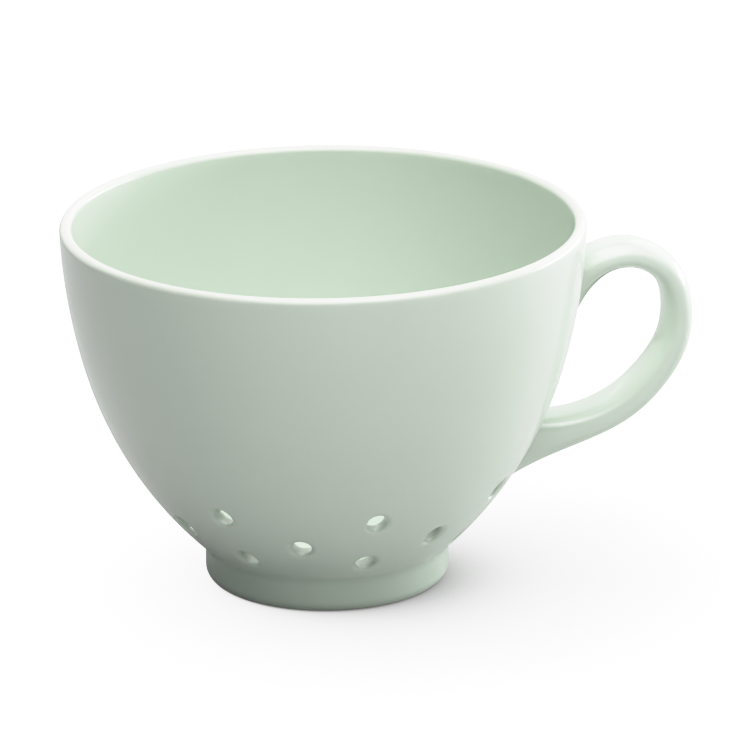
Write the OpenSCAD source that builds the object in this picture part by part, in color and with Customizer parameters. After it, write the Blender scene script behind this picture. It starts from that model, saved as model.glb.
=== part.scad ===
// Berry colander bowl. A deep glazed stoneware cup with drain holes through its lower wall and its
// floor, a low foot ring that it stands on, and one broad loop handle luted to its side.
// The bowl's axis is Z, the foot ring stands on z = 0, and the handle points along +X.
// Lengths are millimetres, angles are degrees.

/* [Bowl] */
// outside diameter of the bowl across its lip
rim_d = 135.2; // [125:0.2:146]
// height of the lip above the table
bowl_h = 96; // [88:0.5:106]
// thickness of the wall at the lip, which is a full round of this diameter
lip_t = 3.2; // [2.6:0.1:4]
// thickness of the wall just above the waist
low_wall_t = 5; // [4:0.1:6]
// thickness of the floor
floor_t = 5.4; // [4:0.1:6.4]
// how far the wall leans outwards where it meets the lip
rim_lean = 2; // [0:0.1:4]
// radius that the upper wall is curved to, seen from the side
upper_curve_r = 154.5; // [130:0.5:190]
// height at which the upper wall's curve hands over to the belly's, as a share of the bowl's height
handover_share = 0.615; // [0.52:0.005:0.7]
// radius of the soft corner between the wall and the floor inside
floor_corner_r = 15; // [8:0.5:18]

/* [Foot ring] */
// outside diameter of the foot ring and of the waist above it
foot_d = 63.2; // [58:0.2:68]
// height of the foot ring below the bowl's flat seat
foot_h = 5; // [4:0.1:6]
// height above the table at which the belly's curve would reach the foot's side
waist_h = 9.2; // [8.6:0.1:10.4]
// radius of the cove between the belly and the foot's side
waist_cove_r = 3; // [1.5:0.1:3.6]
// radius of the foot ring's outer bottom edge
foot_edge_r = 3; // [1:0.1:3.6]
// width of the foot ring across its top
foot_ring_w = 7; // [5.6:0.1:8]
// how much narrower the ring is at the table on its inner side
foot_draft = 0.8; // [0.3:0.1:1.4]
// radius of the foot ring's inner bottom edge
foot_inner_edge_r = 1; // [0.4:0.1:1.4]

/* [Drain holes] */
// diameter of every drain hole
hole_d = 5; // [3.6:0.1:5.6]
// angle between neighbouring columns of wall holes
column_pitch = 24; // [22:0.5:26]
// columns of wall holes, an odd number with one opposite the handle, none where its root is
columns = 13; // [9:2:13]
// how far the whole pattern is turned from the handle's plane
pattern_turn = -1.8; // [-3:0.1:3]
// how far up from the floor inside the high, middle and low wall holes open on the outer side, as
// shares of the bowl's depth
hole_height_shares = [0.229, 0.132, 0.0596];
// how far a wall hole dips on its way out, so that it drains
hole_dip = 6; // [0:0.5:10]
// holes in the ring around the floor's centre hole
floor_holes = 6; // [4:1:8]
// diameter of the circle that the floor holes lie on
floor_circle_d = 28; // [22:0.5:34]

/* [Handle] */
// distance from the bowl's axis to the handle's outermost face
handle_reach = 97.2; // [90:0.2:106]
// width of the handle across the strap
handle_w = 15; // [12:0.5:18]
// thickness of the strap
handle_t = 8; // [6.5:0.1:9]
// how square the strap's section is, where 2 is an oval
strap_squareness = 2.3; // [2:0.1:3.2]
// how much thicker the strap's underside has grown where its upper end enters the wall
upper_web = 2.1; // [1:0.1:3]
// how far out of the wall that growth starts
upper_web_run = 10; // [8:0.5:14]
// how much thicker the strap's underside has grown where its lower end enters the wall
lower_web = 6.4; // [3:0.1:8]
// how far out of the wall that growth starts
lower_web_run = 19.8; // [14:0.2:24]
// radius of the small cove where the strap's other faces meet the wall
root_cove = 2; // [1.9:0.1:2.2]
// how far down the wall the strap's upper end fades out
upper_fade = 14; // [10:0.5:18]
// how far down the wall its lower end fades out
lower_fade = 7; // [5:0.5:9]

/* [Hidden] */
$fn = 144;

// the strap's path from its upper to its lower end: how far out of the lip each pull of the path
// lies, as a share of the handle's free reach, and how high, as a share of the bowl's height
path_out_shares = [-0.261, 0.072, 0.381, 0.694, 0.866, 0.876, 0.694, 0.368, -0.132, -0.702];
path_up_shares = [0.771, 0.827, 0.86, 0.822, 0.747, 0.612, 0.513, 0.412, 0.358, 0.377];
// rings along the strap, corners around it, steps of the cove round each root, and how far that
// cove turns before it meets the wall in a small edge
strap_rings = 56;
strap_sides = 28;
cove_steps = 5;
cove_turn = 72;
// an overrun for cuts that must pass right through
over = 1;

rim_r = rim_d / 2;
lip_r = lip_t / 2;
foot_r = foot_d / 2;
handover_z = bowl_h * handover_share;
floor_z = foot_h + floor_t;
lip_at = [rim_r - lip_r, bowl_h - lip_r];

// The outer side is two arcs. The upper one touches the lip's round, leaning out by rim_lean. The
// belly's arc carries on from it at the hand-over height and passes through the waist.
lean_dir = [cos(rim_lean), -sin(rim_lean)];
upper_at = lip_at - (upper_curve_r - lip_r) * lean_dir;
upper_out_r = upper_curve_r;
upper_in_r = upper_curve_r - lip_t;
out_join = arc_point(upper_at, upper_out_r, handover_z);
in_join = arc_point(upper_at, upper_in_r, handover_z);
waist_at = [foot_r, waist_h];
belly_out_r = arc_radius_through(out_join, upper_at, waist_at);
belly_out_at = out_join + belly_out_r * unit(upper_at - out_join);
// the inner side does the same, low_wall_t inside the waist
waist_in_at = waist_at + low_wall_t * unit(belly_out_at - waist_at);
belly_in_r = arc_radius_through(in_join, upper_at, waist_in_at);
belly_in_at = in_join + belly_in_r * unit(upper_at - in_join);

// the cove at the waist touches the foot's side and the belly
cove_x = foot_r + waist_cove_r;
cove_z = belly_out_at[1]
    - sqrt(pow(belly_out_r + waist_cove_r, 2) - pow(cove_x - belly_out_at[0], 2));
cove_at = [cove_x, cove_z];
cove_end = belly_out_at + belly_out_r * unit(cove_at - belly_out_at);

// the soft corner inside touches the floor and the belly's inner side
corner_z = floor_z + floor_corner_r;
corner_x = belly_in_at[0]
    + sqrt(pow(belly_in_r - floor_corner_r, 2) - pow(corner_z - belly_in_at[1], 2));
corner_at = [corner_x, corner_z];
corner_end = belly_in_at + belly_in_r * unit(corner_at - belly_in_at);

free_reach = handle_reach - rim_r;

function unit(v) = v / norm(v);

// the point of an arc at a height, on the side away from the axis
function arc_point(at, r, z) = [at[0] + sqrt(r * r - pow(z - at[1], 2)), z];

// the radius of the arc that leaves a joint towards a centre's side and passes through a point
function arc_radius_through(joint, toward, through) =
    pow(norm(through - joint), 2) / (2 * (through - joint) * unit(toward - joint));

// points along an arc round a centre, from one point of it to another, turning the short way
function arc(at, from, to, steps) =
    let (
        r = norm(from - at),
        a = atan2(from[1] - at[1], from[0] - at[0]),
        b = atan2(to[1] - at[1], to[0] - at[0])
    )
    [for (i = [0:steps]) at + r * [cos(a + (b - a) * i / steps), sin(a + (b - a) * i / steps)]];

// the bowl's outside radius at a height
function wall_r(z) = z > handover_z ? arc_point(upper_at, upper_out_r, z)[0]
    : arc_point(belly_out_at, belly_out_r, max(z, waist_h))[0];

// the outer side from the seat up to the lip
outer_side = concat(
    [[foot_r, foot_h]],
    arc(cove_at, [foot_r, cove_z], cove_end, 5),
    arc(belly_out_at, cove_end, out_join, 20),
    arc(upper_at, out_join, lip_at + lip_r * lean_dir, 12)
);
// the inner side from the lip down to the floor
inner_side = concat(
    arc(upper_at, lip_at - lip_r * lean_dir, in_join, 12),
    arc(belly_in_at, in_join, corner_end, 18),
    arc(corner_at, corner_end, [corner_x, floor_z], 10)
);
lip_round = [for (i = [1:11]) lip_at + lip_r * [cos(i * 15 - rim_lean), sin(i * 15 - rim_lean)]];

// the bowl's section on one side of the axis
module bowl_2d() {
    polygon(concat([[0, foot_h]], outer_side, lip_round, inner_side, [[0, floor_z]]));
}

// the same outer side, solid to the axis
module bowl_form_2d() {
    polygon(concat([[0, foot_h]], outer_side, [[0, lip_at[1]]]));
}

// one hole through the wall, square to the wall seen from above, dipping on its way out, and long
// enough to pass through the wall where it is thick above the floor's corner
module wall_hole(turn, height_share) {
    z = floor_z + height_share * (bowl_h - floor_z);
    rotate([0, 0, turn]) translate([wall_r(z), 0, z]) rotate([0, 90 + hole_dip, 0])
        cylinder(d = hole_d, h = wall_r(z), center = true);
}

// the columns are numbered from the one opposite the handle, and go both ways round to it
module wall_holes() {
    side = (columns - 1) / 2;
    for (i = [-side:side]) {
        turn = 180 + pattern_turn + i * column_pitch;
        if (i % 2 == 0) {
            wall_hole(turn, hole_height_shares[0]);
            wall_hole(turn, hole_height_shares[2]);
        } else {
            wall_hole(turn, hole_height_shares[1]);
        }
    }
}

module floor_hole() {
    translate([0, 0, foot_h - over]) cylinder(d = hole_d, h = floor_t + 2 * over);
}

module bowl() {
    color([0.74, 0.79, 0.73])
        difference() {
            rotate_extrude() bowl_2d();
            wall_holes();
            floor_hole();
            for (i = [0:floor_holes - 1])
                rotate([0, 0, pattern_turn + i * 360 / floor_holes])
                    translate([floor_circle_d / 2, 0, 0]) floor_hole();
        }
}

// the foot ring's section: a flat base, rounded edges and a drafted inner side
module foot_ring_2d() {
    inner_r = foot_r - foot_ring_w;
    base_in = [inner_r + foot_draft, 0];
    draft = atan(foot_draft / foot_h);
    inner_run = foot_inner_edge_r / tan(45 + draft / 2);
    inner_at = base_in + [inner_run, foot_inner_edge_r];
    outer_at = [foot_r - foot_edge_r, foot_edge_r];
    polygon(concat(
        [[inner_r, foot_h]],
        arc(inner_at, base_in + inner_run * [-sin(draft), cos(draft)], base_in + [inner_run, 0], 6),
        arc(outer_at, [outer_at[0], 0], [foot_r, foot_edge_r], 10),
        [[foot_r, foot_h]]
    ));
}

module foot_ring() {
    color([0.74, 0.79, 0.73])
        rotate_extrude() foot_ring_2d();
}

// one coordinate of the smooth path through its pulls, with the end pulls counted three times
function pull(shares, i) = shares[min(max(i - 2, 0), len(shares) - 1)];
function bend(a, b, c, d, t) = (pow(1 - t, 3) * a + (3 * pow(t, 3) - 6 * t * t + 4) * b
    + (-3 * pow(t, 3) + 3 * t * t + 3 * t + 1) * c + pow(t, 3) * d) / 6;
function along(shares, s) =
    let (spans = len(shares) + 1, u = min(s, 1) * spans, i = min(floor(u), spans - 1))
    bend(pull(shares, i), pull(shares, i + 1), pull(shares, i + 2), pull(shares, i + 3), u - i);
function path_point(s) =
    [rim_r + free_reach * along(path_out_shares, s), bowl_h * along(path_up_shares, s)];

// growth towards the wall, from nothing at its run to its full size at the wall, and on inside it
function growth(size, run, gap, sharpness) = size * pow(max(1 - gap / run, 0), sharpness);

// one line along the strap, at a share of its path: a corner of a rounded oblong, which is thicker
// towards the wall
function strap_corner(s, k) =
    let (
        step = 0.5 / strap_rings,
        p = path_point(s),
        ahead = unit(path_point(min(s + step, 1)) - path_point(max(s - step, 0))),
        out = [-ahead[1], ahead[0]],
        gap = p[0] - wall_r(p[1]),
        upper = s < 0.5,
        out_t = handle_t / 2 + (upper ? 0 : growth(lower_web, lower_web_run, gap, 2)),
        in_t = handle_t / 2 + (upper ? growth(upper_web, upper_web_run, gap, 3) : 0),
        a = 360 * k / strap_sides,
        c = sign(cos(a)) * pow(abs(cos(a)), 2 / strap_squareness),
        w = sign(sin(a)) * pow(abs(sin(a)), 2 / strap_squareness),
        q = p + out * c * (c > 0 ? out_t : in_t)
    )
    [q[0], w * handle_w / 2, q[1]];

// the same line carried on past the path's ends, down the wall, while what stands off it sinks in
function line_point(s, k) =
    let (
        t = min(max(s, 0), 1),
        share = abs(s - t),
        sunk = share * share * (3 - 2 * share),
        q = strap_corner(t, k),
        z = q[2] - share * (s < 0 ? upper_fade : lower_fade),
        gap = q[0] - wall_r(q[2])
    )
    [wall_r(z) + gap - (max(gap, 0) + over) * sunk, q[1], z];

// where a line first comes as near the wall as a level, looked for by halving
function line_gap(s, k) = let (q = line_point(s, k)) norm([q[0], q[1]]) - wall_r(q[2]);
function crossing(k, level, near, far, tries = 15) =
    tries == 0 ? far
    : let (half = (near + far) / 2)
        line_gap(half, k) > level ? crossing(k, level, half, far, tries - 1)
        : crossing(k, level, near, half, tries - 1);

// the ring at one step of the cove round a root: each line turns away from the root's middle in
// nearly a quarter circle until it is close to the wall, and at the last step drops into it
function root_ring(far, i) =
    let (
        a = cove_turn * min(i, cove_steps) / cove_steps,
        level = root_cove * (1 - sin(a)),
        drift = root_cove * (1 - cos(a)),
        sunk = i > cove_steps ? over : 0,
        top = line_point(crossing(0, 0, 0.5, far), 0)[2],
        low = line_point(crossing(strap_sides / 2, 0, 0.5, far), strap_sides / 2)[2],
        half_h = (top - low) / 2
    )
    [for (k = [0:strap_sides - 1])
        let (
            q = line_point(crossing(k, level, 0.5, far), k),
            r = norm([q[0], q[1]]),
            turn = atan2(q[1], q[0]),
            across = r * turn * PI / 180,
            away = unit([across * pow(2 / handle_w, 2), (q[2] - (top + low) / 2) / pow(half_h, 2)]),
            new_turn = turn + drift * away[0] / r * 180 / PI,
            z = q[2] + drift * away[1],
            new_r = wall_r(z) + level - sunk
        )
        [new_r * cos(new_turn), new_r * sin(new_turn), z]];

// the rings between the two roots, each starting from where the cove left every line
function middle_rings() =
    let (
        n = strap_sides,
        starts = [for (k = [0:n - 1]) crossing(k, root_cove, 0.5, -1)],
        ends = [for (k = [0:n - 1]) crossing(k, root_cove, 0.5, 2)],
        first = starts[0],
        last = ends[0]
    )
    [for (i = [1:strap_rings - 1])
        let (u = i / strap_rings)
        [for (k = [0:n - 1])
            line_point(
                first + (last - first) * u + (starts[k] - first) * pow(1 - u, 4)
                    + (ends[k] - last) * pow(u, 4),
                k
            )]];

module strap() {
    rings = concat(
        [for (i = [cove_steps + 1:-1:0]) root_ring(-1, i)],
        middle_rings(),
        [for (i = [0:cove_steps + 1]) root_ring(2, i)]
    );
    points = [for (ring = rings, corner = ring) corner];
    n = strap_sides;
    last = len(rings) - 1;
    sides = [for (i = [0:last - 1], k = [0:n - 1])
        let (a = i * n + k, b = i * n + (k + 1) % n)
        each [[a, a + n, b], [b, a + n, b + n]]];
    first_end = [for (k = [0:n - 1]) k];
    last_end = [for (k = [n - 1:-1:0]) last * n + k];
    polyhedron(points, concat(sides, [first_end, last_end]), convexity = 6);
}

// the strap, cut to sit on the bowl's outer side
module handle() {
    color([0.74, 0.79, 0.73])
        difference() {
            strap();
            rotate_extrude() bowl_form_2d();
        }
}

bowl();
foot_ring();
handle();
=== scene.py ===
import math
import bpy
import numpy as np
from mathutils import Matrix, Vector


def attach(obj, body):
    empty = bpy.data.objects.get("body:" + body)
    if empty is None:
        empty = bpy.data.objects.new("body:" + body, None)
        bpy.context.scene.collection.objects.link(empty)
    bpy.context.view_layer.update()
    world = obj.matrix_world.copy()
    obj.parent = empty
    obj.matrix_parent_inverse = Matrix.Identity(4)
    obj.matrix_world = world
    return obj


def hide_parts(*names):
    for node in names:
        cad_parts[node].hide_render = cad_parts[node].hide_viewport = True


# Looks of a glazed colander bowl: a turned bowl with soft-edged drain holes,
# its foot ring and its loop handle
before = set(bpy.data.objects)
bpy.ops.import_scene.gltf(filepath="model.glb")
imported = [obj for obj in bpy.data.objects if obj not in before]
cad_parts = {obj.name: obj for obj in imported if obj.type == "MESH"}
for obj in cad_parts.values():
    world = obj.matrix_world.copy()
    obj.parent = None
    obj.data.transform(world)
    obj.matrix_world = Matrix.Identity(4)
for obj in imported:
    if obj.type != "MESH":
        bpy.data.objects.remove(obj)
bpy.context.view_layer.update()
print("frame loaded:", ", ".join(sorted(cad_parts)))

mm = 0.001  # lengths in the dictionaries are millimetres, angles are degrees

bowl = dict(
    rimD=135.2, height=96.0, lipT=3.2, lowWallT=5.0, floorT=5.4,
    rimLean=2.0, upperCurveR=154.5, handoverShare=0.615, cornerR=15.0,
    footD=63.2, footH=5.0, waistH=9.2, coveR=3.0,
    columns=240,                # round the axis, a whole number between neighbouring holes
    waistRows=14, upperRows=38, cornerRows=10, lipRows=18,      # beside the wall holes' blocks
    centreRows=6, underRows=9, floorRows=2, boreSteps=7,        # beside the floor holes' blocks
    # the glaze's flow, carrying painted light too: below nothing where it runs thin, with a painted
    # highlight on the lip, above where it pools, with painted shade in the cove below the waist and
    # low inside
    lipThinAndSheen=-0.9, centreFlow=-0.6, covePoolAndShade=1.0, insidePoolAndShade=0.8,
    coveTop=8.2, coveFade=2.2, insideTop=48, insideFade=34,
)
holes = dict(
    d=5.0, pitch=24.0, columns=13, turn=-1.8, dip=6.0,
    heights=(30.0, 21.7, 15.5),                 # high, middle and low
    floorCircleD=28.0, floorCount=6,
    softOut=1.7, softIn=0.95, softFloor=0.8,    # how far the soft edges reach
    pull=0.6,                                   # of the soft edge towards the sharp corner
    flatRings=(0.36, 0.7), mouthRings=8, boreRings=(0.33, 0.67),
    edgeFlow=-0.35, boreShadeRise=4.4, boreShadeFlow=2.4, # thin over the edge, rising to painted shade deep in the bore
    blockColumns=5, blockRows=5, blockReach=5.0,
    floorBlockColumns=12, floorBlockRows=6, floorBlockReach=4.5,
)
wobble = dict(
    oval=0.0007, threeSided=0.0003, sag=0.0004,     # shares of the radius and of the height
    ovalPhase=1.1, threePhase=2.3, sagPhase=0.4,    # radians
    ovalTwist=0.015, threeTwist=-0.02,              # radians for each millimetre of height
)


def unit(v):
    # a vector over its own length
    return v / np.linalg.norm(v, axis=-1, keepdims=True)


def arcPoints(centre, start, end, count):
    # points at equal turns round a centre, from one point of the arc to another, both included
    a = math.atan2(start[1] - centre[1], start[0] - centre[0])
    b = math.atan2(end[1] - centre[1], end[0] - centre[0])
    turn = np.linspace(a, b, count)[:, None]
    return centre + np.linalg.norm(start - centre) * np.hstack([np.cos(turn), np.sin(turn)])


def arcRadiusThrough(joint, toward, through):
    # half the squared distance between two points of the arc, over its share along the radius
    return np.sum((through - joint) ** 2) / (2 * np.dot(through - joint, unit(toward - joint)))


def arcPoint(centre, r, z):
    # the point of a circle at a height, on the side away from the axis
    return np.array([centre[0] + math.sqrt(r * r - (z - centre[1]) ** 2), z])


def bowlSides(b):
    # outer side: foot, cove, belly arc, upper arc. Lip: half a circle.
    # Inner side: upper arc, belly arc, corner. Each arc ends where the next one has its direction
    rimR, lipR, footR = b["rimD"] / 2, b["lipT"] / 2, b["footD"] / 2
    handoverZ, floorZ = b["height"] * b["handoverShare"], b["footH"] + b["floorT"]
    lean = math.radians(b["rimLean"])
    leanDir = np.array([math.cos(lean), -math.sin(lean)])
    lipAt = np.array([rimR - lipR, b["height"] - lipR])
    upperAt = lipAt - (b["upperCurveR"] - lipR) * leanDir
    outJoin = arcPoint(upperAt, b["upperCurveR"], handoverZ)
    inJoin = arcPoint(upperAt, b["upperCurveR"] - b["lipT"], handoverZ)
    waistAt = np.array([footR, b["waistH"]])
    outR = arcRadiusThrough(outJoin, upperAt, waistAt)
    outAt = outJoin + outR * unit(upperAt - outJoin)
    waistIn = waistAt + b["lowWallT"] * unit(outAt - waistAt)
    inR = arcRadiusThrough(inJoin, upperAt, waistIn)
    inAt = inJoin + inR * unit(upperAt - inJoin)
    coveX = footR + b["coveR"]
    coveDrop = math.sqrt((outR + b["coveR"]) ** 2 - (coveX - outAt[0]) ** 2)
    coveAt = np.array([coveX, outAt[1] - coveDrop])
    coveEnd = outAt + outR * unit(coveAt - outAt)
    cornerZ = floorZ + b["cornerR"]
    cornerOut = math.sqrt((inR - b["cornerR"]) ** 2 - (cornerZ - inAt[1]) ** 2)
    cornerAt = np.array([inAt[0] + cornerOut, cornerZ])
    cornerEnd = inAt + inR * unit(cornerAt - inAt)
    # points of the fine paths, far more than there are rows
    count = dict(straight=200, cove=400, wall=3000, lip=600, corner=800)
    outer = np.vstack([
        np.linspace([footR, b["footH"]], [footR, coveAt[1]], count["straight"])[:-1],
        arcPoints(coveAt, np.array([footR, coveAt[1]]), coveEnd, count["cove"])[:-1],
        arcPoints(outAt, coveEnd, outJoin, count["wall"])[:-1],
        arcPoints(upperAt, outJoin, lipAt + lipR * leanDir, count["wall"]),
    ])
    over = np.radians(np.linspace(-b["rimLean"], 180 - b["rimLean"], count["lip"]))[:, None]
    lip = lipAt + lipR * np.hstack([np.cos(over), np.sin(over)])
    inner = np.vstack([
        arcPoints(upperAt, lipAt - lipR * leanDir, inJoin, count["wall"])[:-1],
        arcPoints(inAt, inJoin, cornerEnd, count["wall"])[:-1],
        arcPoints(cornerAt, cornerEnd, np.array([cornerAt[0], floorZ]), count["corner"]),
    ])
    return outer, lip, inner, floorZ


def lengthsOf(path):
    # running length at each point of a fine path
    return np.concatenate([[0], np.cumsum(np.linalg.norm(np.diff(path, axis=0), axis=1))])


def pick(path, lengths):
    # points of a fine path at given running lengths
    run = lengthsOf(path)
    return np.stack([np.interp(lengths, run, path[:, 0]), np.interp(lengths, run, path[:, 1])], 1)


def spans(stops, counts):
    # running lengths: each span between two stops is cut into a count of equal steps
    steps = [np.linspace(a, b, n, endpoint=False)
             for a, b, n in zip(stops[:-1], stops[1:], counts)]
    return np.concatenate(steps + [[stops[-1]]])


def slideOn(surface, points, direction, steps=14, nudge=1e-4):
    # Newton's steps along one direction, until the surface's function is nothing at every point
    s = np.zeros(len(points))
    for _ in range(steps):
        value = surface(points + s[:, None] * direction)
        slope = (surface(points + (s + nudge)[:, None] * direction) - value) / nudge
        s = s - value / slope
    return points + s[:, None] * direction


def handWobble(points, w):
    # a turned piece is never quite round: slow waves of two and three turns round the axis,
    # twisting a little with height, and a dipping rim. They only take away
    x, y, z = points.T
    turn = np.arctan2(y, x)
    wave = (w["oval"] * (1 + np.sin(2 * turn + w["ovalPhase"] + w["ovalTwist"] * z))
            + w["threeSided"] * (1 + np.sin(3 * turn + w["threePhase"] + w["threeTwist"] * z)))
    sag = w["sag"] * (1 + np.sin(2 * turn + w["sagPhase"]))
    return np.stack([x * (1 - wave), y * (1 - wave), z * (1 - sag)], 1)


def makeMesh(name, points, quads, flowAndLight, sharpAngle=50):
    # arrays to a mesh, in metres, without points that no quad uses, and with the glaze's flow and
    # its painted light
    used, back = np.unique(quads, return_inverse=True)
    quads = back.reshape(quads.shape)
    points = handWobble(points[used], wobble) * mm
    mesh = bpy.data.meshes.new(name)
    mesh.vertices.add(len(points))
    mesh.vertices.foreach_set("co", points.ravel())
    mesh.loops.add(quads.size)
    mesh.loops.foreach_set("vertex_index", quads.ravel().astype(np.int32))
    mesh.polygons.add(len(quads))
    mesh.polygons.foreach_set("loop_start", np.arange(0, quads.size, 4, dtype=np.int32))
    mesh.update(calc_edges=True)
    mesh.validate()
    layer = mesh.attributes.new("glazeFlowAndLight", "FLOAT", "POINT")
    layer.data.foreach_set("value", flowAndLight[used].astype(np.float32))
    mesh.shade_smooth()
    mesh.set_sharp_from_angle(angle=math.radians(sharpAngle))
    piece = bpy.data.objects.new(name, mesh)
    bpy.context.scene.collection.objects.link(piece)
    return piece


def revolveGrid(profile, columns, turn):
    # every profile point carried round the axis: (r cos, r sin, z), row by row
    a = np.radians(turn + 360 / columns * np.arange(columns))
    r, z = profile[:, :1], profile[:, 1:]
    grid = np.stack([r * np.cos(a), r * np.sin(a), z + 0 * a], -1)
    return grid.reshape(-1, 3)


def gridQuads(rows, columns, closed):
    # quads between neighbouring rows and columns, with the last column joined to the first,
    # and the last row too where the section is closed
    i = np.arange(rows if closed else rows - 1)[:, None]
    j = np.arange(columns)[None, :]
    up, on = (i + 1) % rows, (j + 1) % columns
    return np.stack([i * columns + j, i * columns + on, up * columns + on, up * columns + j], -1)


def blockLoop(rowList, columnList, columns):
    # the edge of a block of the grid, walked once round from its first corner
    r, c = np.array(rowList), np.array(columnList) % columns
    return np.concatenate([
        r[0] * columns + c[:-1], r[:-1] * columns + c[-1],
        r[-1] * columns + c[:0:-1], r[:0:-1] * columns + c[0],
    ])


def softMouth(h, edge, frameOf, surface, setback, into, angles):
    # from the block's edge to a circle on the surface, then over a rounded edge to the bore:
    # a cubic curve from the surface to the wall of the bore, pulled towards the sharp corner
    base, across, up, out = frameOf
    holeR, probe, pull = h["d"] / 2, 0.2, h["pull"]
    ring = np.cos(angles)[:, None] * across + np.sin(angles)[:, None] * up
    corner = slideOn(surface, base + holeR * ring, out)
    beyond = slideOn(surface, base + (holeR + probe) * ring, out)
    stretch = np.linalg.norm(beyond - corner, axis=1) / probe
    reach = (holeR + setback / stretch)[:, None]
    lipRing = slideOn(surface, base + reach * ring, out)
    flat = np.stack([(edge - base) @ across, (edge - base) @ up], 1)
    circle = reach * np.stack([np.cos(angles), np.sin(angles)], 1)
    rings, flowAndLight = [], []
    for share in h["flatRings"]:
        at = (1 - share) * flat + share * circle
        rings.append(slideOn(surface, base + at[:, :1] * across + at[:, 1:] * up, out))
        flowAndLight.append(0.0)
    bore = corner + into * setback
    pullA, pullB = lipRing + pull * (corner - lipRing), bore + pull * (corner - bore)
    for t in np.linspace(0, 1, h["mouthRings"]):
        rings.append((1 - t) ** 3 * lipRing + 3 * t * (1 - t) ** 2 * pullA
                     + 3 * t * t * (1 - t) * pullB + t ** 3 * bore)
        # thin over the edge's middle, then rising into the bore's painted shade
        thinAndSheen = h["edgeFlow"] * (math.sin(math.pi * t) ** 2 if t < 0.5 else 1)
        flowAndLight.append(thinAndSheen + h["boreShadeRise"] * max(t - 0.5, 0))
    return rings, flowAndLight


def bowlRows(b, h, sides, atOut, atIn):
    # the section's points, one for each row: underside, outer side, lip, inner side, floor and the
    # centre hole's bore with its quarter-circle edges. Wall rows are about 1 mm apart, and the wall
    # holes' levels and the floor holes' circle fall on rows
    outer, lip, inner, floorZ = sides
    holeR, soft, reach, n = h["d"] / 2, h["softFloor"], h["blockReach"], h["blockRows"]
    between, betweenIn = ([max(4, round(g)) for g in np.diff(at)] for at in (atOut, atIn))
    outLengths = spans([0, atOut[0] - reach, *atOut, atOut[-1] + reach, lengthsOf(outer)[-1]],
                       [b["waistRows"], n, *between, n, b["upperRows"]])
    inLengths = spans([0, atIn[0] - reach, *atIn, atIn[-1] + reach, lengthsOf(inner)[-1]],
                      [b["upperRows"], n, *betweenIn, n, b["cornerRows"]])
    ringR, fr, fn = h["floorCircleD"] / 2, h["floorBlockReach"], h["floorBlockRows"]
    stops = [holeR + soft, ringR - fr, ringR, ringR + fr]
    underR = spans([*stops, b["footD"] / 2], [b["centreRows"], fn, fn, b["underRows"]])[:-1]
    floorR = spans([*stops, inner[-1, 0]], [b["centreRows"], fn, fn, b["floorRows"]])[::-1][1:]
    quarter = np.radians(np.linspace(0, 90, b["boreSteps"]))
    near, far = soft * (1 - np.cos(quarter)), soft * (1 - np.sin(quarter))
    parts = dict(
        under=np.stack([underR, 0 * underR + b["footH"]], 1),
        outer=pick(outer, outLengths),
        lip=pick(lip, np.linspace(0, lengthsOf(lip)[-1], b["lipRows"])[1:-1]),
        inner=pick(inner, inLengths),
        floor=np.stack([floorR, 0 * floorR + floorZ], 1),
        boreTop=np.stack([holeR + far, floorZ - near], 1)[1:],
        boreLow=np.stack([holeR + near, b["footH"] + far], 1)[:-1],
    )
    starts = dict(zip(parts, np.cumsum([0] + [len(p) for p in parts.values()])))
    onOut = starts["outer"] + b["waistRows"] + n + np.cumsum([0, *between])
    onIn = (starts["inner"] + b["upperRows"] + n + np.cumsum([0, *betweenIn]))[::-1]
    return np.vstack(list(parts.values())), starts, onOut, onIn


def bowlFlowAndLight(b, profile, starts):
    # the glaze runs thin over the lip, lightened further there by a painted highlight, and over the
    # centre hole's edges, and pools in the cove below the waist and low inside, darker there also
    # by painted shade
    z = profile[:, 1]
    cove, inside = np.zeros(len(z)), np.zeros(len(z))
    isOut, isIn = slice(starts["outer"], starts["lip"]), slice(starts["inner"], starts["floor"])
    cove[isOut] = np.exp(-(np.maximum(z[isOut] - b["coveTop"], 0) / b["coveFade"]) ** 2)
    inside[isIn] = np.clip((b["insideTop"] - z[isIn]) / b["insideFade"], 0, 1)
    inside[starts["floor"]:starts["boreTop"]] = 1
    lip = np.clip((z - (b["height"] - b["lipT"])) / b["lipT"], 0, 1) ** 1.5
    flowAndLight = b["lipThinAndSheen"] * lip
    flowAndLight[starts["boreTop"]:] = b["centreFlow"]
    return flowAndLight + b["covePoolAndShade"] * cove + b["insidePoolAndShade"] * inside


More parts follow.
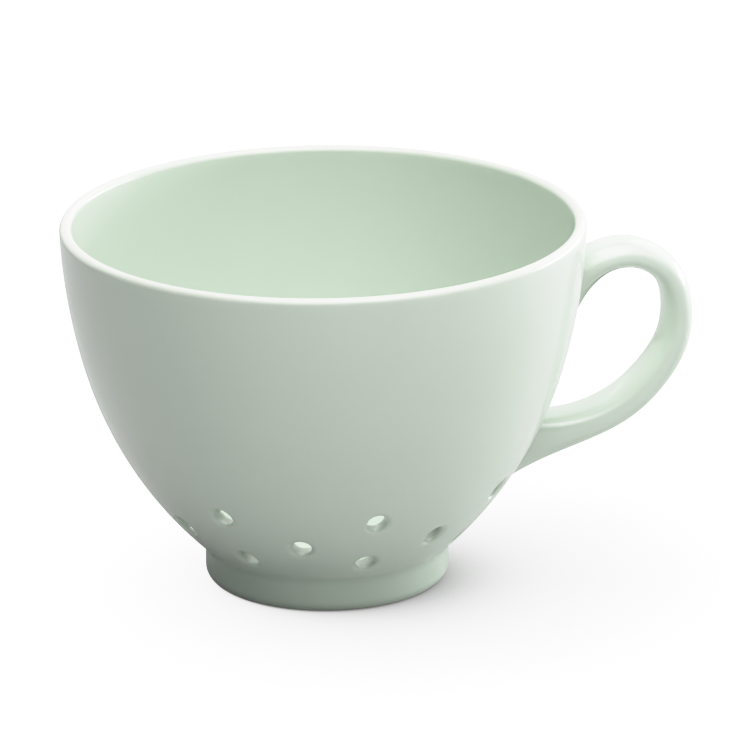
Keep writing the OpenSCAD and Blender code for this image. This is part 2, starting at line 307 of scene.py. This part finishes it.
def makeBowl(b, h):
    # the section turned round the axis, with blocks of the grid cut out on both sides of the wall
    # and of the floor. A tube of rings joins each pair of blocks and makes a hole
    outer, lip, inner, floorZ = bowlSides(b)
    dip = math.radians(h["dip"])
    outSurface = lambda p: np.hypot(p[:, 0], p[:, 1]) - np.interp(p[:, 2], *outer.T[::-1])
    inSurface = lambda p: np.hypot(p[:, 0], p[:, 1]) - np.interp(p[:, 2], *inner[::-1].T[::-1])
    under = lambda p: p[:, 2] - b["footH"]
    floorTop = lambda p: p[:, 2] - floorZ
    outward = np.array([math.cos(dip), 0, -math.sin(dip)])   # along a bore at turn 0
    upward = np.array([math.sin(dip), 0, math.cos(dip)])
    levels = np.array(h["heights"])[::-1]
    centres = np.stack([np.interp(levels, *outer.T[::-1]), 0 * levels, levels], 1)
    centresIn = slideOn(inSurface, centres, outward)
    atOut = np.interp(levels, outer[:, 1], lengthsOf(outer))
    atIn = np.interp(-centresIn[::-1, 2], -inner[:, 1], lengthsOf(inner))
    profile, starts, onOut, onIn = bowlRows(b, h, (outer, lip, inner, floorZ), atOut, atIn)
    rows, columns = len(profile), b["columns"]
    points = revolveGrid(profile, columns, h["turn"])
    quads = gridQuads(rows, columns, closed=True)   # one for each row and column
    flowAndLight = [np.repeat(bowlFlowAndLight(b, profile, starts), columns)]

    # every other column has a high and a low hole, and the rest have one between. Each hole's turn
    # is counted in columns of the grid
    perColumn = 360 / columns
    side = h["columns"] // 2
    jobs = []
    for i in range(-side, side + 1):
        for level in ((2, 0) if i % 2 == 0 else (1,)):
            jobs.append(("wall", round((180 + i * h["pitch"]) / perColumn), level))
    for i in range(h["floorCount"]):
        jobs.append(("floor", round(i * 360 / h["floorCount"] / perColumn), 0))
    cut = np.zeros((rows, columns), bool)
    extra, tubeQuads, count = [], [], len(points)
    for kind, column, level in jobs:
        a = math.radians(h["turn"] + column * perColumn)
        radial = np.array([math.cos(a), math.sin(a), 0])
        around = np.array([-math.sin(a), math.cos(a), 0])
        if kind == "wall":
            halfC, halfR = h["blockColumns"], h["blockRows"]
            rowOut, rowIn = onOut[level], onIn[level]
            base = centres[level][0] * radial + [0, 0, centres[level][2]]
            out = outward[0] * radial + [0, 0, outward[2]]
            up = upward[0] * radial + [0, 0, upward[2]]
            surfaces, setbacks = (outSurface, inSurface), (h["softOut"], h["softIn"])
        else:
            halfC, halfR = h["floorBlockColumns"], h["floorBlockRows"]
            rowOut = starts["under"] + b["centreRows"] + halfR
            rowIn = starts["floor"] + b["floorRows"] - 1 + halfR
            base = h["floorCircleD"] / 2 * radial + [0, 0, b["footH"]]
            out, up = np.array([0, 0, -1.0]), radial
            surfaces, setbacks = (under, floorTop), (h["softFloor"], h["softFloor"])
        cut[rowOut - halfR:rowOut + halfR, (column + np.arange(-halfC, halfC)) % columns] = True
        cut[rowIn - halfR:rowIn + halfR, (column + np.arange(-halfC, halfC)) % columns] = True
        columnList = column + np.arange(-halfC, halfC + 1)
        loopOut = blockLoop(rowOut + np.arange(-halfR, halfR + 1), columnList, columns)
        loopIn = blockLoop(rowIn - np.arange(-halfR, halfR + 1), columnList, columns)
        # a quarter of the ring to each side of the block
        angles = np.radians(np.concatenate([
            -90 + 90 * q + 45 * np.arange(-k, k) / k for q, k in enumerate([halfC, halfR] * 2)]))
        at = (base, around, up, out)
        ringsA, flowAndLightA = softMouth(h, points[loopOut], at, surfaces[0], setbacks[0], -out, angles)
        ringsB, flowAndLightB = softMouth(h, points[loopIn], at, surfaces[1], setbacks[1], out, angles)
        middle = [ringsA[-1] + t * (ringsB[-1] - ringsA[-1]) for t in h["boreRings"]]
        rings = ringsA + middle + ringsB[::-1]
        size = len(loopOut)
        # the bores' own value paints shade inside them
        flowAndLight.append(np.repeat(flowAndLightA + [h["boreShadeFlow"]] * len(middle) + flowAndLightB[::-1], size))
        extra.append(np.vstack(rings))
        first = count + np.arange(len(rings))[:, None] * size + np.arange(size)
        chain = np.vstack([loopOut, first, loopIn])
        nxt = np.roll(chain, -1, axis=1)
        tubeQuads.append(np.stack([chain[:-1], nxt[:-1], nxt[1:], chain[1:]], -1).reshape(-1, 4))
        count += len(rings) * size
    points = np.vstack([points] + extra)
    allQuads = np.vstack([quads[~cut]] + tubeQuads)
    piece = makeMesh("bowl_body", points, allQuads, np.concatenate(flowAndLight))
    print("bowl:", len(allQuads), "faces,", len(jobs) + 1, "holes")
    return piece, outer


foot = dict(
    edgeR=3.0, ringW=7.0, draft=0.8, innerEdgeR=1.0, coveR=1.6,
    quarterSteps=12, sideSteps=5, baseSteps=6, draftSteps=4, topSteps=8,
    # the foot's main value gives it the darker pooled colour, partly painted shade under the belly
    flowAndLight=1.0, edgeFlow=0.1, thinBelow=1.8,      # the glaze thins below this height
)


def makeFoot(f, b, turn):
    # a closed section turned round the axis: upright side, round outer edge, flat base, small inner
    # edge, drafted inner side and cove. The glaze runs off towards the base; above that the foot
    # takes the darker pooled colour, partly painted shade under the belly
    footR, footH = b["footD"] / 2, b["footH"]
    edgeR, draft, inEdgeR, coveR = f["edgeR"], f["draft"], f["innerEdgeR"], f["coveR"]
    innerR = footR - f["ringW"]
    quarter = np.radians(np.linspace(0, 90, f["quarterSteps"]))[:, None]
    c, q = np.cos(quarter), np.sin(quarter)
    outerEdge = np.hstack([footR - edgeR + edgeR * c, edgeR - edgeR * q])
    innerEdge = np.hstack([innerR + draft + inEdgeR - inEdgeR * q, inEdgeR - inEdgeR * c])
    cove = np.hstack([innerR - coveR + coveR * c, footH - coveR + coveR * q])
    profile = np.vstack([
        np.linspace([footR, footH], [footR, edgeR], f["sideSteps"])[:-1],
        outerEdge,
        np.linspace(outerEdge[-1], innerEdge[0], f["baseSteps"])[1:-1],
        innerEdge,
        np.linspace(innerEdge[-1], cove[0], f["draftSteps"])[1:-1],
        cove,
        np.linspace(cove[-1], [footR, footH], f["topSteps"])[1:-1],
    ])[::-1]
    points = revolveGrid(profile, b["columns"], turn)
    quads = gridQuads(len(profile), b["columns"], closed=True).reshape(-1, 4)
    low = np.clip((f["thinBelow"] - profile[:, 1]) / f["thinBelow"], 0, 1)
    flowAndLight = np.repeat(f["flowAndLight"] + (f["edgeFlow"] - f["flowAndLight"]) * low, b["columns"])
    piece = makeMesh("foot_ring_body", points, quads, flowAndLight)
    print("foot ring:", len(quads), "faces")
    return piece


handle = dict(
    reach=97.2, width=15.0, thick=8.0,
    # from the upper root to the lower one: the section's power, and what the inner face has lost
    squareness=(2.2, 2.2, 2.2, 2.25, 2.4, 2.7, 3.0, 3.1),
    thinned=(0.3, 0.75, 0.8, 0.65, 0.5, 0.3, 0.05, 0.0),
    upperWeb=2.1, upperWebRun=10.0, lowerWeb=6.4, lowerWebRun=19.8,     # thicker towards the wall
    upperFade=14.0, lowerFade=7.0,              # how far a line runs on down the wall
    rootCove=1.2, coveSteps=10,
    sunkSteps=((0.15, 0.12), (0.2, 1.0)),       # drift past the cove, and depth inside the wall
    # the roots' values: pooled glaze and painted shade in their coves
    rootPoolAndShade=0.7, rootPoolAndShadeReach=1.3,
    # the path's pulls, in the same order: out from the rim's radius to the reach, and up
    outShares=(-0.261, 0.072, 0.381, 0.694, 0.866, 0.876, 0.694, 0.368, -0.132, -0.702),
    upShares=(0.771, 0.827, 0.86, 0.822, 0.747, 0.612, 0.513, 0.412, 0.358, 0.377),
    rings=150, sides=72, fineRings=2401, fadeRings=401, directionStep=0.5 / 56,
)


def smoothCurve(shares, s):
    # uniform cubic B-spline over the pulls, with each end pull counted three times
    pulls = np.concatenate([[shares[0]] * 2, shares, [shares[-1]] * 2])
    along = np.clip(s, 0, 1) * (len(shares) + 1)
    i = np.minimum(along.astype(int), len(shares))
    t = along - i
    return ((1 - t) ** 3 * pulls[i] + (3 * t ** 3 - 6 * t * t + 4) * pulls[i + 1]
            + (-3 * t ** 3 + 3 * t * t + 3 * t + 1) * pulls[i + 2] + t ** 3 * pulls[i + 3]) / 6


def strapLines(p, b, wallR):
    # a rounded oblong (a superellipse) carried along the strap's path, thicker towards the wall.
    # Past the path's ends every line runs on down the wall, while what stands off the wall sinks
    # in with an S-shaped fall
    rimR = b["rimD"] / 2
    s = np.linspace(0, 1, p["fineRings"])
    spot = np.stack([rimR + (p["reach"] - rimR) * smoothCurve(p["outShares"], s),
                     b["height"] * smoothCurve(p["upShares"], s)], 1)
    before, after = np.maximum(s - p["directionStep"], 0), np.minimum(s + p["directionStep"], 1)
    ahead = unit(np.stack([np.interp(after, s, spot[:, i]) - np.interp(before, s, spot[:, i])
                           for i in (0, 1)], 1))
    out = np.stack([-ahead[:, 1], ahead[:, 0]], 1)
    gap = spot[:, 0] - wallR(spot[:, 1])
    upper = s < 0.5
    growUp = p["upperWeb"] * np.maximum(1 - gap / p["upperWebRun"], 0) ** 3
    growLow = p["lowerWeb"] * np.maximum(1 - gap / p["lowerWebRun"], 0) ** 2
    outT = p["thick"] / 2 + np.where(upper, 0, growLow)
    inT = p["thick"] / 2 + np.where(upper, growUp, 0) - smoothCurve(p["thinned"], s)
    a = 2 * np.pi * np.arange(p["sides"]) / p["sides"]
    power = 2 / smoothCurve(p["squareness"], s)[:, None]
    c = np.sign(np.cos(a)) * np.abs(np.cos(a)) ** power
    w = np.sign(np.sin(a)) * np.abs(np.sin(a)) ** power
    thick = np.where(c > 0, outT[:, None], inT[:, None]) * c
    lines = np.stack([spot[:, :1] + out[:, :1] * thick,
                      0 * thick + p["width"] / 2 * w,
                      spot[:, 1:] + out[:, 1:] * thick], -1)

    def fading(ring, run):
        # height falls evenly, and the gap by three times the share's square less twice its cube
        share = np.linspace(0, 1, p["fadeRings"])[1:, None]
        sunk = share * share * (3 - 2 * share)
        z = ring[:, 2] - run * share
        gap = ring[:, 0] - wallR(ring[:, 2])
        x = wallR(z) + gap - (np.maximum(gap, 0) + 1) * sunk
        return np.stack([x, ring[:, 1] + 0 * x, z], -1)

    upperEnd, lowerEnd = fading(lines[0], p["upperFade"]), fading(lines[-1], p["lowerFade"])
    return np.concatenate([upperEnd[::-1], lines, lowerEnd])


def makeHandle(p, b, outer):
    # near the wall each line of the strap turns away from the root's middle in a quarter circle,
    # until it lies on the wall, and its end sinks in. Between the roots the rings share out each
    # line's length
    wallR = lambda z: np.interp(z, outer[:, 1], outer[:, 0])
    lines = strapLines(p, b, wallR)
    lineGap = np.hypot(lines[..., 0], lines[..., 1]) - wallR(lines[..., 2])
    mid, n = len(lines) // 2, p["sides"]
    cols = np.arange(n)

    def crossing(step, level):
        # place along each line, from the strap's middle, where its gap first falls to a level.
        # Step -1 leads to the upper root and 1 to the lower one
        g = lineGap[mid::step]
        k = np.argmax(g <= level, axis=0)
        g0, g1 = g[k - 1, cols], g[k, cols]
        return mid + step * (k - 1 + (g0 - level) / (g0 - g1))

    def pointAt(place):
        # straight between the two nearest points of each line
        k = np.clip(np.floor(place).astype(int), 0, len(lines) - 2)
        t = (place - k)[:, None]
        return lines[k, cols] * (1 - t) + lines[k + 1, cols] * t

    def rootRings(step):
        # the level above the wall falls as 1 - sine while the drift along it grows as 1 - cosine
        rc = p["rootCove"]
        landing = pointAt(crossing(step, 0.0))
        top, low = landing[:, 2].max(), landing[:, 2].min()
        turns = np.radians(np.linspace(0, 90, p["coveSteps"]))
        steps = [(rc * (1 - math.sin(a)), rc * (1 - math.cos(a)), 0) for a in turns]
        steps += [(0, rc + drift, sunk) for drift, sunk in p["sunkSteps"]]
        made = []
        for level, drift, sunk in steps:
            q = pointAt(crossing(step, level))
            r, turn = np.hypot(q[:, 0], q[:, 1]), np.arctan2(q[:, 1], q[:, 0])
            away = unit(np.stack([r * turn / (p["width"] / 2) ** 2,
                                  (q[:, 2] - (top + low) / 2) / ((top - low) / 2) ** 2], 1))
            turn, z = turn + drift * away[:, 0] / r, q[:, 2] + drift * away[:, 1]
            r = wallR(z) + level - sunk
            made.append(np.stack([r * np.cos(turn), r * np.sin(turn), z], 1))
        return made

    starts, ends = crossing(-1, p["rootCove"]), crossing(1, p["rootCove"])
    rings = rootRings(-1)[::-1]
    # a line that starts or ends elsewhere than the first one takes up the difference near its root
    for u in np.linspace(0, 1, p["rings"])[1:-1]:
        place = starts[0] + (ends[0] - starts[0]) * u
        place = place + (starts - starts[0]) * (1 - u) ** 4 + (ends - ends[0]) * u ** 4
        rings.append(pointAt(place))
    rings += rootRings(1)
    points = np.vstack(rings)
    quads = gridQuads(len(rings), n, closed=False).reshape(-1, 4)[:, ::-1]
    # both ends are closed inside the wall with a ladder of quads across the last ring
    k = np.arange(n // 2 - 1)
    ladder = np.stack([k, k + 1, n - 2 - k, n - 1 - k], -1)
    quads = np.vstack([quads, ladder, ladder[:, ::-1] + (len(rings) - 1) * n])
    near = np.hypot(points[:, 0], points[:, 1]) - wallR(points[:, 2])
    flowAndLight = p["rootPoolAndShade"] * np.exp(-(near / p["rootPoolAndShadeReach"]) ** 2)   # pooled glaze and painted shade in the roots' coves
    piece = makeMesh("handle_body", points, quads, flowAndLight)
    print("handle:", len(quads), "faces")
    return piece


bowlBody, outerSide = makeBowl(bowl, holes)
footBody = makeFoot(foot, bowl, holes["turn"])
handleBody = makeHandle(handle, bowl, outerSide)

glaze = dict(
    colour=(0.58, 0.665, 0.572),        # a sage celadon
    thinAndSheen=(0.72, 0.755, 0.67),           # where it has run off an edge and the clay warms it; on the lip it is also a painted highlight
    poolAndShade=(0.475, 0.57, 0.48),           # where it has gathered; in the waist's cove, low inside, on the foot and at the handle's roots it is also painted shade
    deep=(0.37, 0.40, 0.36),            # painted shade in the bores
    thinAndSheenAt=(-0.15, -1.1), poolAndShadeAt=(0.15, 1.2), deepAt=(1.3, 2.2),    # where in the flow they come up
    breakUp=0.35, breakSize=5.0,        # keeps their edges uneven
    cloud=0.035, cloudSize=45.0,        # slow differences in depth of colour, and their size
    roughness=0.34, thinRoughness=0.38, roughnessDrift=0.04, driftSize=22.0,
    coat=0.7, coatRoughness=0.06, ior=1.5,
    ripple=0.012, rippleSize=14.0,      # slow waves left in the glaze's surface, and their size
    peel=0.0007, peelSize=1.6,          # its fine skin
    clay=(0.60, 0.545, 0.455), clayDark=(0.50, 0.45, 0.37), clayRoughness=0.75,
    grain=0.05, grainSize=0.7,          # of the bare clay
    wipedTo=0.55,                       # height up to which the foot was wiped bare before firing
)


def addNode(tree, kind, **settings):
    # a new node with some of its settings
    node = tree.nodes.new(kind)
    for key, value in settings.items():
        setattr(node, key, value)
    return node


def addMath(tree, operation, a, b=None, c=None):
    # one number from others, which may be plain numbers or outputs
    node = addNode(tree, "ShaderNodeMath", operation=operation)
    for socket, value in zip(node.inputs, (a, b, c)):
        if isinstance(value, (int, float)):
            socket.default_value = value
        elif value is not None:
            tree.links.new(value, socket)
    return node.outputs[0]


def addNoise(tree, place, size, detail=2.0, roughness=0.5):
    # noise with features of about one size, in millimetres, from 0 to 1
    node = addNode(tree, "ShaderNodeTexNoise")
    tree.links.new(place, node.inputs["Vector"])
    node.inputs["Scale"].default_value = 1 / (size * mm)
    node.inputs["Detail"].default_value = detail
    node.inputs["Roughness"].default_value = roughness
    return node.outputs["Fac"]


def mixColours(tree, factor, a, b):
    # a colour on the way from one to another, where either may be a plain colour or an output
    node = addNode(tree, "ShaderNodeMix", data_type="RGBA")
    tree.links.new(factor, node.inputs[0])
    for socket, value in ((node.inputs[6], a), (node.inputs[7], b)):
        if isinstance(value, tuple):
            socket.default_value = (*value, 1)
        else:
            tree.links.new(value, socket)
    return node.outputs[2]


def newGroup(name, inputs, outputs):
    # an empty node group with its sockets, and its two end nodes
    group = bpy.data.node_groups.new(name, "ShaderNodeTree")
    for direction, sockets in (("INPUT", inputs), ("OUTPUT", outputs)):
        for label, kind in sockets:
            group.interface.new_socket(name=label, in_out=direction, socket_type=kind)
    return group, group.nodes.new("NodeGroupInput"), group.nodes.new("NodeGroupOutput")


def makeGlazeDepthAndLight(g):
    # how the glaze's colour and gloss follow its thickness, thin on edges and pooled in hollows,
    # with slow clouds, and painted light: a painted highlight on the lip, painted shade in the
    # hollows and in the bores
    group, given, made = newGroup(
        "glazeDepthAndLight",
        [("Place", "NodeSocketVector"), ("FlowAndLight", "NodeSocketFloat")],
        [("Colour", "NodeSocketColor"), ("Roughness", "NodeSocketFloat")])
    place, flowAndLight = given.outputs["Place"], given.outputs["FlowAndLight"]
    cloud = addMath(group, "SUBTRACT", addNoise(group, place, g["cloudSize"], 3.0), 0.5)
    breakUp = addMath(group, "SUBTRACT", addNoise(group, place, g["breakSize"], 3.0), 0.5)
    depth = addMath(group, "MULTIPLY_ADD", breakUp, g["breakUp"], flowAndLight)
    colour, shares = g["colour"], {}
    # the three colours: pale where thin (with a painted highlight on the lip), pooled (with painted
    # shade), and painted shade in the bores
    for look in ("thinAndSheen", "poolAndShade", "deep"):
        share = addNode(group, "ShaderNodeMapRange", interpolation_type="SMOOTHSTEP")
        group.links.new(depth, share.inputs["Value"])
        for end, value in zip(("From Min", "From Max"), g[look + "At"]):
            share.inputs[end].default_value = value
        shares[look] = share.outputs[0]
        colour = mixColours(group, shares[look], colour, g[look])
    shade = addMath(group, "MULTIPLY_ADD", cloud, 2 * g["cloud"], 1.0)
    scaled = addNode(group, "ShaderNodeVectorMath", operation="SCALE")
    group.links.new(colour, scaled.inputs[0])
    group.links.new(shade, scaled.inputs["Scale"])
    group.links.new(scaled.outputs[0], made.inputs["Colour"])
    drift = addMath(group, "SUBTRACT", addNoise(group, place, g["driftSize"]), 0.5)
    rough = addMath(group, "MULTIPLY_ADD", drift, 2 * g["roughnessDrift"], g["roughness"])
    rougher = g["thinRoughness"] - g["roughness"]
    rough = addMath(group, "MULTIPLY_ADD", shares["thinAndSheen"], rougher, rough)
    group.links.new(rough, made.inputs["Roughness"])
    return group


def makeGlazeSkin(g):
    # the height of the glaze's surface in millimetres: slow ripples and a fine skin, as one bumped
    # normal
    group, given, made = newGroup(
        "glazeSkin", [("Place", "NodeSocketVector")], [("Normal", "NodeSocketVector")])
    place = given.outputs["Place"]
    ripples = addNoise(group, place, g["rippleSize"], 1.0, 0.4)
    peel = addNoise(group, place, g["peelSize"])
    slow = addMath(group, "MULTIPLY", ripples, g["ripple"])
    fine = addMath(group, "MULTIPLY", peel, g["peel"])
    bump = addNode(group, "ShaderNodeBump")
    bump.inputs["Distance"].default_value = mm
    group.links.new(addMath(group, "ADD", slow, fine), bump.inputs["Height"])
    group.links.new(bump.outputs["Normal"], made.inputs["Normal"])
    return group


def makeBareClay(g):
    # the clay of the wiped ring under the foot: a mottled colour and a grainy normal
    group, given, made = newGroup(
        "bareClay", [("Place", "NodeSocketVector")],
        [("Colour", "NodeSocketColor"), ("Normal", "NodeSocketVector")])
    grain = addNoise(group, given.outputs["Place"], g["grainSize"], 4.0, 0.6)
    group.links.new(mixColours(group, grain, g["clay"], g["clayDark"]), made.inputs["Colour"])
    bump = addNode(group, "ShaderNodeBump")
    bump.inputs["Distance"].default_value = g["grain"] * mm
    group.links.new(grain, bump.inputs["Height"])
    group.links.new(bump.outputs["Normal"], made.inputs["Normal"])
    return group


def makeGlazeMaterial(name, g, groups):
    # a rough glaze with a thin glossy skin over it, both with the same bumped normal
    material = bpy.data.materials.new(name)
    material.use_nodes = True
    tree = material.node_tree
    shader = tree.nodes["Principled BSDF"]
    shader.inputs["IOR"].default_value = g["ior"]
    shader.inputs["Coat Weight"].default_value = g["coat"]
    shader.inputs["Coat Roughness"].default_value = g["coatRoughness"]
    place = addNode(tree, "ShaderNodeTexCoord").outputs["Object"]
    flowAndLight = addNode(tree, "ShaderNodeAttribute", attribute_name="glazeFlowAndLight").outputs["Fac"]
    depth, skin = (addNode(tree, "ShaderNodeGroup", node_tree=groups[k]) for k in ("depth", "skin"))
    tree.links.new(place, depth.inputs["Place"])
    tree.links.new(flowAndLight, depth.inputs["FlowAndLight"])
    tree.links.new(place, skin.inputs["Place"])
    tree.links.new(depth.outputs["Colour"], shader.inputs["Base Color"])
    tree.links.new(depth.outputs["Roughness"], shader.inputs["Roughness"])
    for socket in ("Normal", "Coat Normal"):
        tree.links.new(skin.outputs["Normal"], shader.inputs[socket])
    return material


def makeClayMaterial(name, g, groups):
    # bare fired clay, dull and grainy
    material = bpy.data.materials.new(name)
    material.use_nodes = True
    tree = material.node_tree
    shader = tree.nodes["Principled BSDF"]
    shader.inputs["Roughness"].default_value = g["clayRoughness"]
    clay = addNode(tree, "ShaderNodeGroup", node_tree=groups["clay"])
    tree.links.new(addNode(tree, "ShaderNodeTexCoord").outputs["Object"], clay.inputs["Place"])
    tree.links.new(clay.outputs["Colour"], shader.inputs["Base Color"])
    tree.links.new(clay.outputs["Normal"], shader.inputs["Normal"])
    return material


groups = dict(depth=makeGlazeDepthAndLight(glaze), skin=makeGlazeSkin(glaze), clay=makeBareClay(glaze))
sageGlaze = makeGlazeMaterial("sage_glaze", glaze, groups)
bareClay = makeClayMaterial("wiped_clay", glaze, groups)
for piece, node, slotName in ((bowlBody, "bowl", "glaze"), (handleBody, "handle", "glaze"),
                              (footBody, "foot_ring", "foot")):
    piece.data.materials.append(sageGlaze)
    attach(piece, "root")
    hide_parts(node)

# the flat of the foot is wiped bare before firing
footBody.data.materials.append(bareClay)
footFaces = footBody.data.polygons
middles = np.empty(3 * len(footFaces), np.float32)
footFaces.foreach_get("center", middles)
footFaces.foreach_set("material_index", (middles[2::3] < glaze["wipedTo"] * mm).astype(np.int32))
print("pieces dressed")

# the camera sees the floor brighter than it bounces light, as a studio sweep shows once its white
# is set. Lengths here are metres
studio = dict(
    floorHalf=6.0, floorSeen=0.2, floorLift=2.2, floorBounce=0.48,
    shadePower=1.12, shadeReach=0.085, shadeLean=(-0.5, 0.25, 0.83), shadeRays=32,
    roomLight=0.04, roomSeen=2.2,
    aim=(0.01, 0.0, 0.05),
    # turn is from the camera's side towards the picture's right, up is above the table
    lamps=dict(
        sideRight=dict(turn=90, up=22, away=1.0, size=(0.83, 0.8), watts=0.2),
        backRight=dict(turn=135, up=22, away=1.0, size=(0.83, 0.8), watts=4.5, mirrored=False),
        backRightGlow=dict(turn=132, up=22, away=1.0, size=(1.1, 0.8), watts=4.6),
        lowRight=dict(turn=118, up=7, away=0.7, size=(0.5, 0.12), watts=3.4),
        back=dict(turn=180, up=22, away=1.0, size=(0.83, 0.8), watts=2.4),
        backLeft=dict(turn=225, up=22, away=1.0, size=(0.83, 0.8), watts=2.6),
        front=dict(turn=28, up=14, away=1.0, size=(1.3, 0.8), watts=2.6, mirrored=False),
        highFront=dict(turn=0, up=60, away=1.0, size=(0.8, 0.7), watts=5.4),
        highRight=dict(turn=60, up=60, away=1.0, size=(0.8, 0.7), watts=3.8),
        highLeft=dict(turn=240, up=60, away=1.0, size=(0.8, 0.7), watts=0.6),
        top=dict(turn=180, up=85, away=1.0, size=(0.8, 0.8), watts=6.5),
    ),
)


def makeFloor(s):
    # a wide square. The camera sees a diffuse floor with a lift of its own light, and everything
    # else sees a plain diffuse one
    half = s["floorHalf"]
    corners = [(-half, -half, 0), (half, -half, 0), (half, half, 0), (-half, half, 0)]
    mesh = bpy.data.meshes.new("floor")
    mesh.from_pydata(corners, [], [(0, 1, 2, 3)])
    piece = bpy.data.objects.new("floor", mesh)
    bpy.context.scene.collection.objects.link(piece)
    material = bpy.data.materials.new("pale_floor")
    material.use_nodes = True
    tree = material.node_tree
    tree.nodes.clear()
    out = tree.nodes.new("ShaderNodeOutputMaterial")
    mix, path = tree.nodes.new("ShaderNodeMixShader"), tree.nodes.new("ShaderNodeLightPath")
    bounce, seen, lift, add = (tree.nodes.new("ShaderNode" + kind) for kind in (
        "BsdfDiffuse", "BsdfDiffuse", "Emission", "AddShader"))
    bounce.inputs["Color"].default_value = (*[s["floorBounce"]] * 3, 1)
    seen.inputs["Color"].default_value = (*[s["floorSeen"]] * 3, 1)
    # what stands near takes light from the lift, more on the side away from the lean
    near = addNode(tree, "ShaderNodeAmbientOcclusion", samples=s["shadeRays"])
    near.inputs["Distance"].default_value = s["shadeReach"]
    lean = addNode(tree, "ShaderNodeCombineXYZ")
    for socket, value in zip(lean.inputs, s["shadeLean"]):
        socket.default_value = value
    tree.links.new(lean.outputs["Vector"], near.inputs["Normal"])
    shade = addMath(tree, "POWER", near.outputs["AO"], s["shadePower"])
    strength = addMath(tree, "MULTIPLY", shade, s["floorLift"])
    tree.links.new(strength, lift.inputs["Strength"])
    tree.links.new(seen.outputs[0], add.inputs[0])
    tree.links.new(lift.outputs[0], add.inputs[1])
    tree.links.new(bounce.outputs[0], mix.inputs[1])
    tree.links.new(add.outputs[0], mix.inputs[2])
    tree.links.new(path.outputs["Is Camera Ray"], mix.inputs["Fac"])
    tree.links.new(mix.outputs["Shader"], out.inputs["Surface"])
    mesh.materials.append(material)


def makeLamp(name, box, s, cameraTurn):
    # a soft box on a sphere round the bowl, facing it. One that isn't mirrored lights the glaze
    # without showing in it
    turn, up = math.radians(box["turn"] - 90 - cameraTurn), math.radians(box["up"])
    away = np.array([math.cos(turn) * math.cos(up), math.sin(turn) * math.cos(up), math.sin(up)])
    light = bpy.data.lights.new(name, "AREA")
    light.shape, light.energy = "RECTANGLE", box["watts"]
    light.size, light.size_y = box["size"]
    lamp = bpy.data.objects.new(name, light)
    lamp.location = np.array(s["aim"]) + box["away"] * away
    lamp.rotation_euler = Vector(away).to_track_quat("Z", "Y").to_euler()
    lamp.visible_glossy = box.get("mirrored", True)
    bpy.context.scene.collection.objects.link(lamp)


def makeWorld(s):
    # a pale room behind the floor's far edge, which gives only a little light of its own
    world = bpy.data.worlds.new("studio")
    bpy.context.scene.world = world
    world.use_nodes = True
    tree = world.node_tree
    room, path = tree.nodes["Background"], tree.nodes.new("ShaderNodeLightPath")
    strength = addNode(tree, "ShaderNodeMapRange")
    strength.inputs["To Min"].default_value = s["roomLight"]
    strength.inputs["To Max"].default_value = s["roomSeen"]
    room.inputs["Color"].default_value = (1, 1, 1, 1)
    tree.links.new(path.outputs["Is Camera Ray"], strength.inputs["Value"])
    tree.links.new(strength.outputs["Result"], room.inputs["Strength"])


camera = dict(
    sensor=36, lens=6500 / 753 * 36,        # 6500 pixels long over a frame of 753
    distance=1693.2, elevation=20.38, turn=11.04, yaw=0.48, pitch=18.67, roll=-0.59,
    clip=(0.1, 60),                         # metres
)


def makeCamera(c):
    # stands back from the bowl's axis at an elevation, and looks along its own yaw and pitch,
    # then rolls
    e, turn = math.radians(c["elevation"]), math.radians(c["turn"])
    yaw, pitch, roll = (math.radians(c[k]) for k in ("yaw", "pitch", "roll"))
    look = np.array([math.sin(yaw) * math.cos(pitch), math.cos(yaw) * math.cos(pitch),
                     -math.sin(pitch)])
    level = unit(np.cross(look, [0, 0, 1]))
    upright = np.cross(level, look)
    right = level * math.cos(roll) + upright * math.sin(roll)
    up = upright * math.cos(roll) - level * math.sin(roll)
    place = np.array([0, -math.cos(e), math.sin(e)]) * c["distance"] * mm
    swing = np.array(Matrix.Rotation(-turn, 3, "Z"))
    data = bpy.data.cameras.new("camera")
    data.lens, data.sensor_width = c["lens"], c["sensor"]
    data.clip_start, data.clip_end = c["clip"]
    made = bpy.data.objects.new("camera", data)
    bpy.context.scene.collection.objects.link(made)
    axes = Matrix(np.stack([swing @ right, swing @ up, swing @ -look], 1).tolist())
    made.matrix_world = Matrix.Translation((swing @ place).tolist()) @ axes.to_4x4()
    bpy.context.scene.camera = made


whites = dict(
    level=2.0,    # the light that comes out as pure white
    shoulder=((0.6, 0.6), (0.8, 0.77), (1.0, 0.87), (1.25, 0.925), (1.6, 0.965)),
)


def softenWhites(w):
    # the plain sRGB view, with a shoulder: light is kept as it is up to the first point and
    # squeezed above it
    view = bpy.context.scene.view_settings
    view.view_transform = "Standard"
    view.use_curve_mapping = True
    mapping = view.curve_mapping
    mapping.white_level = [w["level"]] * 3
    curve = mapping.curves[3]   # for all three colours together
    for light, shown in w["shoulder"]:
        curve.points.new(light / w["level"], shown)
    for point in list(curve.points)[:2]:
        point.handle_type = "VECTOR"
    mapping.update()


makeCamera(camera)
makeFloor(studio)
for name, lamp in studio["lamps"].items():
    makeLamp(name, lamp, studio, camera["turn"])
makeWorld(studio)
softenWhites(whites)
print("camera and lights set")
